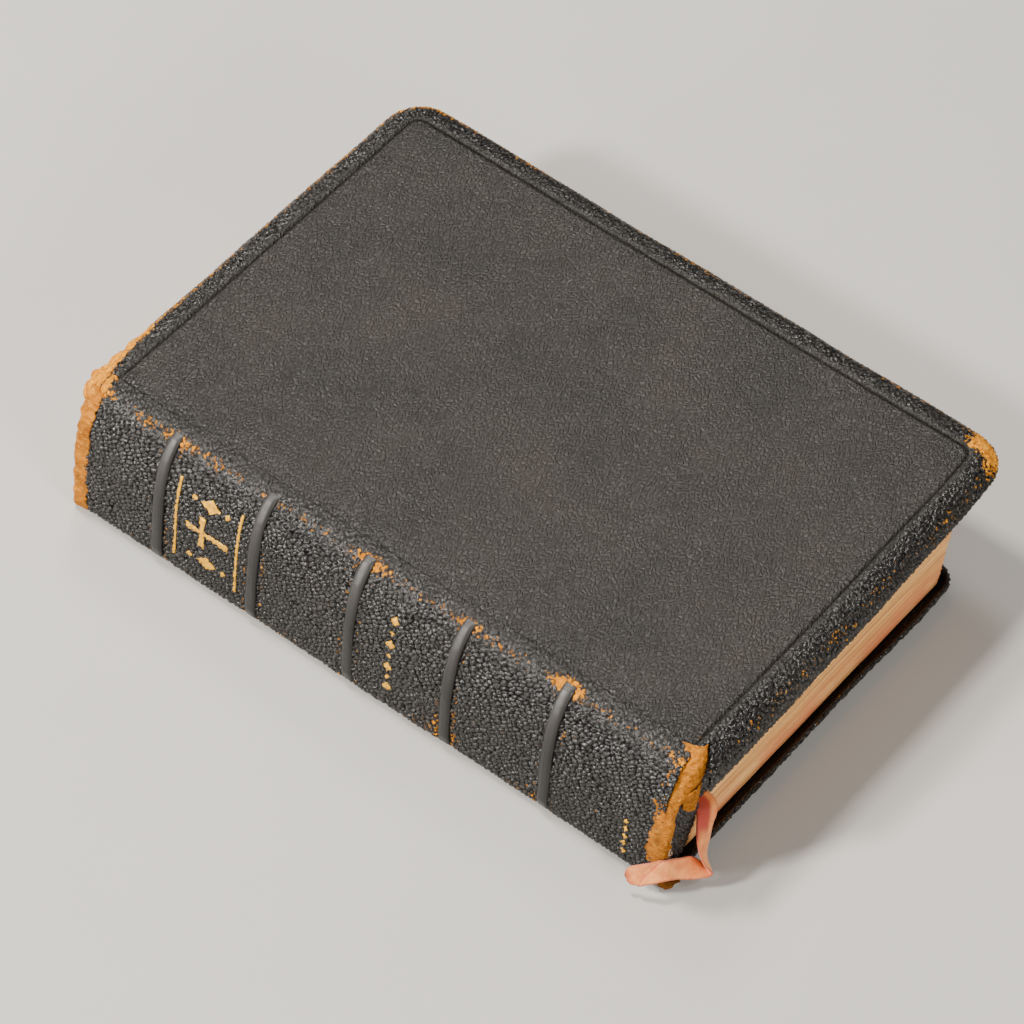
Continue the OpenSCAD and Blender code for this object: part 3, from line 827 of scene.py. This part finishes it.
# ---------------------------------------------------------------- torn caps
def torn(left, middle, right, rows, columns, seed, lump=0.3, ragged=0.7, thickness=0.8, grained=0.0):
    """A ragged sheet whose section bends from left to right round middle.

    It comes as grids: the outer points, the inner ones, their place on the leather and its lumps.
    """
    a, m, b = (redrawn(line, rows, 5)[1] for line in (left, middle, right))
    t = np.arange(rows) * np.linalg.norm(m[-1] - m[0]) / rows
    for edge, k in ((a, 0), (b, 9)):
        out = edge - m
        out /= np.linalg.norm(out, axis=1, keepdims=True)
        edge += out * ragged * fractal(t / 1.6, np.full_like(t, k), seed, 3)[:, None]
    w = np.linspace(0, 1, columns)[None, :, None]
    sheet = (1 - w) ** 2 * a[:, None] + 2 * w * (1 - w) * m[:, None] + w**2 * b[:, None]
    n = surface_normals(sheet)
    if np.sum(n * (m - (a + b) / 2)[:, None]) < 0:
        n = -n
    u = np.broadcast_to(t[:, None], sheet.shape[:2])
    v = np.broadcast_to(w[..., 0] * np.linalg.norm(b - a, axis=1)[:, None] * 1.4, sheet.shape[:2])
    crumple = fractal(u / 1.3, v / 1.3, seed + 1, 4) + 0.6 * fractal(u / 5, v / 5, seed + 2, 2)
    sheet = sheet + n * (lump * crumple)[..., None]
    plane = np.stack([u - 40, v, np.full_like(v, seed)], -1)
    lumps, rise = skin(plane[..., 0], plane[..., 1], grained)
    sheet = sheet + n * (rise * (grained > 0))[..., None]
    return sheet, sheet - n * thickness, plane, lumps


def joined(name, sheets, materials, joint, nodes=()):
    """One mesh from sheets (outer, inner, flat, lump, material, wear and darkening, coarse)."""
    points, faces, mats, base = [], [], [], 0
    looks = {"flat": [], "lump": [], "worn": [], "coarse": []}
    for outside, inside, plane, lump, material, wear_and_darkening, rough in sheets:
        part_points, part_faces = slab(outside, inside)
        points.append(part_points)
        faces.append(part_faces + base)
        mats.append(np.full(len(part_faces), material))
        for key, value in zip(looks, (plane, lump, wear_and_darkening, rough)):
            value = value if key == "flat" else np.broadcast_to(value, outside.shape[:2])
            looks[key].append(both_sides(value))
        base += len(part_points)
    obj = piece(name, row(np.concatenate(points)), np.concatenate(faces), materials,
                attributes={key: np.concatenate(values) for key, values in looks.items()},
                face_material=np.concatenate(mats))
    face_outward(obj.data)
    bent(obj, *joint, nodes)


roll_left = [(4.4, -93.3, 42.15), (1.0, -95.2, 41.4), (-3, -95, 38.8), (-5.65, -93.9, 34.6), (-7.4, -93.2, 29.6),
             (-9.1, -93.8, 22.2), (-10.1, -92.9, 14.8), (-10.75, -93.5, 8.7), (-11.1, -95.2, 4), (-10.8, -96.4, 1.2)]
roll_middle = [(5.4, -99.2, 43), (3, -103.2, 42.4), (-0.8, -103.6, 38.4), (-5.4, -102, 34), (-8.2, -101.6, 29.4),
               (-10.2, -101, 21.8), (-11.4, -100.6, 14.4), (-11.9, -99.8, 8.7), (-11.9, -99, 4), (-11.6, -98.6, 1.2)]
roll_right = [(7.4, -98.4, 41.9), (6.4, -99.8, 37), (3.2, -99.4, 32.4), (-2.6, -98.8, 31.2), (-5.2, -98.6, 28.5),
              (-5.8, -98.4, 20.5), (-6.6, -98.2, 13.5), (-7.4, -97.6, 8), (-8.2, -97.2, 4), (-8.6, -97.2, 1.2)]
roll = torn(roll_left, roll_middle, roll_right, 260, 56, 91, 0.4, 1.0)
# darker in patches, and darker towards its foot by the floor
roll_darkening = 0.35 * np.clip(fractal(roll[2][..., 0] / 5, roll[2][..., 1] / 2, 93) * 2, 0, 1)
roll_darkening += 0.3 * smooth(-16, -6, roll[2][..., 0])
fold = torn(
    [(-5, -99.2, 33), (-4.8, -99.8, 29.4), (-3.0, -100, 25.8), (-1.0, -100, 24)],
    [(-1.2, -102.2, 33.8), (-1.4, -102.2, 29.8), (-0.8, -101.8, 25.6), (0.2, -101, 23.6)],
    [(2.4, -100.8, 34.4), (1.8, -100.6, 30.4), (1.2, -100.2, 26), (0.8, -100.1, 23.8)], 70, 34, 94, 0.35, 0.7, 0.5)
flap = torn(
    [(-5.6, -98.8, 31), (-6.6, -98.8, 25), (-7.4, -98.7, 17), (-8.2, -98.6, 10), (-8.8, -98.2, 5)],
    [(-1.6, -100, 31), (-2.2, -100.4, 24), (-3.0, -100.4, 16), (-4.4, -99.6, 9), (-5.4, -98.8, 5)],
    [(4.6, -98.9, 29.5), (3.6, -98.8, 22), (2.6, -98.6, 15.4), (0.4, -98.4, 10), (-1.6, -98.2, 6)],
    130, 50, 95, 0.25, 0.5, 0.7, grained=0.85)
side_flap = torn(
    [(3.6, -99, 40.4), (2.8, -99, 36.5), (0.6, -98.9, 31), (0.2, -98.8, 25.5)],
    [(9, -101.8, 40), (8.6, -101.6, 36.4), (7.2, -100.8, 30.6), (6, -99.9, 24)],
    [(14.5, -99, 38.8), (13.4, -98.8, 35.2), (11.4, -98.6, 30), (10, -98.3, 23.4)],
    120, 54, 102, 0.3, 0.6, 0.7, grained=0.9)
curl = torn(
    [(-10.8, -95.6, 1.5), (-12.3, -98.4, 1.6), (-11.9, -100.6, 1.4), (-10.2, -101.6, 1.2)],
    [(-9.6, -97.6, 3), (-10.8, -99, 3), (-10, -100.4, 2.8), (-9, -101.2, 2.2)],
    [(-7, -98.6, 1.6), (-7, -99.8, 1.6), (-7, -101.2, 1.5), (-7, -102, 1.2)], 60, 26, 96, 0.2, 0.35, 0.6)
# the roll's top is a piece of its own, and is thin where the flyleaf passes
split = int(np.argmax(roll[0][:, 28, 2] < 40.4))
end = [g[:split + 1] for g in roll]
end[1] = end[0] + (end[1] - end[0]) * (0.25 + 0.75 * smooth(-97.0, -98.4, end[0][..., 1]))[..., None]
joined("torn_joint_end", [(*end, 0, roll_darkening[:split + 1], 1)], [TORN], FRONT_BEND)
joined("torn_tail_cap", [
    (*(g[split:] for g in roll), 0, roll_darkening[split:], 1),
    (*fold, 0, 0.3, 1),
    (*flap, 1, 0.22, 0.8),
    (*side_flap, 1, 0.2, 0.8),
    (*curl, 0, 0.75, 1),
], [TORN, PANEL], MIDDLE_BEND, ["front_tail_cap", "back_tail_cap"])

# the head cap: the spine's leather rolled over the end of the block, its edge ripped open
CAP_START, CAP_END, CAP_ROWS = 5.5, spine_s[-1] - 6, 36
cap_s = np.arange(CAP_START, CAP_END, 0.28)[:, None]
k = np.arange(CAP_ROWS)[None, :]
ripped = 0.6 * fractal(cap_s / 2.2, 0 * cap_s, 97, 4) + 0.5 * fractal(cap_s / 9, 0 * cap_s, 98, 2)
cap_fade = smooth(CAP_START, CAP_START + 3.5, cap_s) * smooth(CAP_END, CAP_END - 3, cap_s)
cap_section = redrawn([(96.9, 0.2), (98.4, 0.45), (100.2, 0.75), (101.4, 0.5), (101.7, -0.5), (101.1, -1.6),
                       (99.6, -2.3), (97.6, -2.6)], CAP_ROWS, 3)[1]
cap_y = cap_section[None, :, 0] + ripped * bell(k, 17, 12)
cap_y += 0.9 * fractal(cap_s / 1.5, 0 * cap_s, 99, 3) * bell(k, 0, 5)
cap_lift = cap_section[None, :, 1] * (0.35 + 0.65 * cap_fade) + 0.3 * fractal(cap_s / 1.2, k / 4, 100, 4)
turn = np.pi * k / (CAP_ROWS - 1)
cap_sheet = on_spine(cap_s, cap_y, cap_lift)
cap_inner = on_spine(cap_s, cap_y - 0.6 * np.sin(turn), cap_lift - 0.6 * np.cos(turn))
cap_flat = np.stack(np.broadcast_arrays(cap_s, k * 0.25, 3.0), -1)
cap_wear = 0.3 * np.clip(fractal(cap_flat[..., 0] / 6, cap_flat[..., 1] / 2, 101) * 2, 0, 1)
joined("torn_head_cap", [(cap_sheet, cap_inner, cap_flat, cap_wear, 0, cap_wear, 1)], [TORN], MIDDLE_BEND,
       ["front_head_cap", "back_head_cap"])

# the gatherings' folds, seen at the back of the opening
gutter_z, gutter_y = np.meshgrid(np.linspace(18.6, 23.4, 25), np.linspace(-96, 96, 97), indexing="ij")
gutter = np.stack([-6.4 + 0.08 * np.cos(gutter_y * 0.8), gutter_y, gutter_z], -1)
points, faces = slab(gutter, gutter - np.array([0.4, 0, 0]))
bent(piece("gutter_fold", row(points), faces, [PAGE]), *MIDDLE_BEND)

# ---------------------------------------------------------------- pages
by_height = spine_line[spine_line[:, 1].argsort()]
top_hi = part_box("front_section_1")[1]
FORE_TOP, TOP_Z = (top_hi.x - ORIGIN[0]) * 1000, top_hi.z * 1000
FORE_BOTTOM, BOTTOM_Z = (section_hi.x - ORIGIN[0]) * 1000, section_hi.z * 1000
LEAVES = 9


def fold_x(z):
    """Where the gatherings' folds are, inside the spine."""
    return np.interp(z, by_height[:, 1], by_height[:, 0]) + 3.2


def fore_x(z):
    """Where the leaning fore-edge is."""
    return FORE_TOP + (z - TOP_Z) * (FORE_TOP - FORE_BOTTOM) / (TOP_Z - BOTTOM_Z)


def leaf_outline(z, shy, shy_fore):
    """A leaf's tail, fore and head edges, each slightly uneven."""
    x_in, x_out, y_out = fold_x(z), fore_x(z) - shy_fore, BLOCK_END - shy
    t = np.linspace(0, 1, 90)
    uneven = lambda u, part: 0.10 * noise(u / 9, z / 3 + part, 81)
    tail = (x_in + (x_out - x_in) * t, -y_out + uneven((x_out - x_in) * t, 0))
    edge = (x_out + uneven(t * 190, 40), -y_out + 2 * y_out * t)
    head = (x_out + (x_in - x_out) * t, y_out + uneven(x_out - (x_out - x_in) * t, 80))
    lines = [np.stack([x, y, np.full_like(t, z)], -1) for x, y in (tail, edge, head)]
    return np.concatenate([lines[0][:-1], lines[1][:-1], lines[2]])


for half in ("back", "front"):
    for i in range(1, 6):
        lo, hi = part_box(f"{half}_section_{i}")
        z0, z1 = lo.z * 1000, hi.z * 1000
        rings = []
        rng = np.random.default_rng(100 * (half == "front") + i)
        for k in range(LEAVES):
            low, high = (z0 + (z1 - z0) * j / LEAVES for j in (k, k + 1))
            shy = rng.uniform(0, 0.35)
            shy_fore = rng.uniform(0, 0.5)
            for z, pull in ((low + 0.01, 0.14), (low + 0.07, 0), (high - 0.07, 0), (high - 0.01, 0.14)):
                rings.append(leaf_outline(z, pull + shy, pull + shy_fore))
        rings = np.array(rings)
        n = rings.shape[1]
        faces = grid_faces(len(rings), n, wrap=True).tolist()
        faces += [list(range(n))[::-1], list(range((len(rings) - 1) * n, len(rings) * n))]
        gathering = piece(f"{half}_gathering_{i}", row(rings.reshape(-1, 3)), faces, [EDGES, PAGE],
                          smooth_shading=False, face_material=[0] * (len(faces) - 2) + [1, 1])
        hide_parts(f"{half}_section_{i}")
        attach(gathering, f"{half}_half")


# ---------------------------------------------------------------- gold tooling
def lozenge(x, y, w, h):
    """A lozenge's outline round its middle."""
    return [(x - w / 2, y), (x, y - h / 2), (x + w / 2, y), (x, y + h / 2)]


def clip(poly, axis, at, keep_low):
    """A convex polygon's part on one side of a straight line."""
    out = []
    for k, p in enumerate(poly):
        q = poly[(k + 1) % len(poly)]
        inside, inside_next = ((r[axis] <= at) if keep_low else (r[axis] >= at) for r in (p, q))
        if inside:
            out.append(p)
        if inside != inside_next:
            f = (at - p[axis]) / (q[axis] - p[axis])
            out.append(tuple(p[j] + (q[j] - p[j]) * f for j in (0, 1)))
    return out


def gilding(name, outlines, s0, y0, nodes):
    """Gold outlines (across the spine, towards the head) laid on the leather's grain."""
    cell = 0.5
    top, faces = [], []
    for poly in outlines:
        lo = [min(p[j] for p in poly) for j in (0, 1)]
        hi = [max(p[j] for p in poly) for j in (0, 1)]
        for a in np.arange(math.floor(lo[0] / cell), math.ceil(hi[0] / cell)) * cell:
            stripe = clip(clip(poly, 0, a + cell, True), 0, a, False)
            if len(stripe) < 3:
                continue
            for b in np.arange(math.floor(lo[1] / cell), math.ceil(hi[1] / cell)) * cell:
                bit = clip(clip(stripe, 1, b + cell, True), 1, b, False)
                if len(bit) > 2:
                    faces.append(list(range(len(top), len(top) + len(bit))))
                    top += bit
    flat2 = np.array(top)
    s, y = s0 - flat2[:, 0], y0 + flat2[:, 1]
    lift = skin(STRIP_X - s, y, np.ones_like(s))[1] * 0.9 + 0.4 * fractal(s / 16, y / 16, 35, 3) + 0.2
    obj = piece(name, row(on_spine(s, y, lift)), faces, [GOLD])
    face_outward(obj.data, weld=1e-5, thickness=0.00012)
    obj.data.polygons.foreach_set("use_smooth", [True] * len(obj.data.polygons))
    bent(obj, *MIDDLE_BEND, nodes)


mid_s = float(np.interp(MID_Z, spine_line[::-1, 1], spine_s[::-1]))
title = []  # a Latin cross of four flared arms, then lozenges and rules
for c, s, arm in ((1, 0, 5.5), (0, 1, 5.5), (-1, 0, 9), (0, -1, 5.5)):
    flared = [(-0.55, 0), (0.55, 0), (1.1, arm), (-1.1, arm)]
    title.append([(x * c - y * s, 1.5 + x * s + y * c) for x, y in flared])
for s in (-1, 1):
    title += [lozenge(s * 10.5, -0.5, 4.5, 6.5), lozenge(s * 10.5, 5.2, 2, 2), lozenge(s * 10.5, -6.2, 2, 2)]
    title.append([(-14, s * 10.5 - 0.4), (14, s * 10.5 - 0.4), (14, s * 10.5 + 0.4), (-14, s * 10.5 + 0.4)])
middle = lambda k: (BANDS_Y[k - 2] + BANDS_Y[k - 1]) / 2
gilding("title_gilding", title, mid_s, middle(2), ["front_title_ornament", "back_title_ornament"])
pips = [lozenge((k - 3) * 4, 0, *([3, 3] if k % 2 == 0 else [1.4, 1.4])) for k in range(7)]
gilding("row_gilding", pips, mid_s, middle(4) + 3, ["front_row_ornament", "back_row_ornament"])
foot = [lozenge((k - 2) * 2.8 - 10, 0, 1.8, 1.8) for k in range(5)]
gilding("foot_gilding", foot, mid_s, TAIL_Y + 11, ["back_foot_ornament"])

# ---------------------------------------------------------------- ribbon
RIBBON = np.array([
    [6.6, -97, 18.6], [6.6, -98.8, 18.6], [5.4, -100.2, 18.3], [3.6, -101.3, 17.4], [1.9, -102.2, 15.9],
    [0.4, -103.2, 13.9], [-0.9, -104.3, 11.4], [-1.5, -105.2, 8.8], [-1.3, -105.9, 6.4], [-1.1, -106.2, 4.9],
    [-1.8, -106, 4.3], [-3, -105.1, 5.2], [-4.7, -103.8, 6.4], [-7.7, -102.1, 7.9], [-10.8, -100.5, 9],
    [-13.1, -98.5, 8.7], [-15.4, -94.9, 6.9], [-17, -91.8, 4.6]])
RIBBON_W, RIBBON_T = 6.0, 0.5
RIBBON_FOLD, FOLD_END = 9, 13
at = travel(RIBBON)
length = float(at[-1])
t, line = redrawn(RIBBON, 150, 10)
heading = np.gradient(line, axis=0)
heading /= np.linalg.norm(heading, axis=1, keepdims=True)
early = (np.clip(t / at[RIBBON_FOLD], 0, 1) ** 3)[:, None]
late = np.clip((t - at[RIBBON_FOLD]) / (at[FOLD_END] - at[RIBBON_FOLD]), 0, 1)[:, None]
SIDES = np.array([[1, 0, 0], [0.43, 0.87, -0.32], [0.3, 0.3, 0.9]])
lie = (SIDES[0] * (1 - early) + SIDES[1] * early) * (1 - late) + SIDES[2] * late
side = lie - heading * np.sum(lie * heading, axis=1, keepdims=True)
side /= np.linalg.norm(side, axis=1, keepdims=True)
over = np.cross(heading, side)
w = np.linspace(-0.5, 0.5, 13)
# the tip is rounded, and the low run is turned over along a slanting crease near it
tip = np.sqrt(np.clip(1 - (np.clip(t - length + 3.2, 0, 3.2) / 3.25) ** 2, 0.02, 1))
across_w = w[None, :] * tip[:, None]
crease = t[:, None] - length + 6.5 + across_w * 9
bow = 0.3 * (1 - (2 * w[None, :]) ** 2) + 0.55 * smooth(-0.35, 0.0, crease) * smooth(3.5, 0.2, crease)
sheet = line[:, None] + side[:, None] * (across_w * RIBBON_W)[..., None] + over[:, None] * bow[..., None]
points, faces = slab(sheet + over[:, None] * RIBBON_T / 2, sheet - over[:, None] * RIBBON_T / 2)
flat2 = np.stack(np.broadcast_arrays(t[:, None], w[None] * RIBBON_W, 0.0), -1)
# painted shade: the inner face, turned from the light where the ribbon leaves the pages, is painted dark red over
# most of its width
inner_face_shade = smooth(12, 8, t)[:, None] * smooth(0.25, 0.1, w)[None, :]
stain_and_shade = inner_face_shade + 0.8 * smooth(length - 2.5, length, t)[:, None] + 0.7 * smooth(0.41, 0.5, np.abs(w))[None, :]
# painted shade along the crease of the turned-over run
stain_and_shade = np.clip(stain_and_shade + 0.9 * bell(crease, 0, 0.35), 0, 1)
ribbon = piece("ribbon_marker_silk", row(points), faces, [SILK], attributes={
    "flat": both_sides(flat2), "worn": both_sides(stain_and_shade)})
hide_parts("ribbon_marker")
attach(ribbon, "back_half")
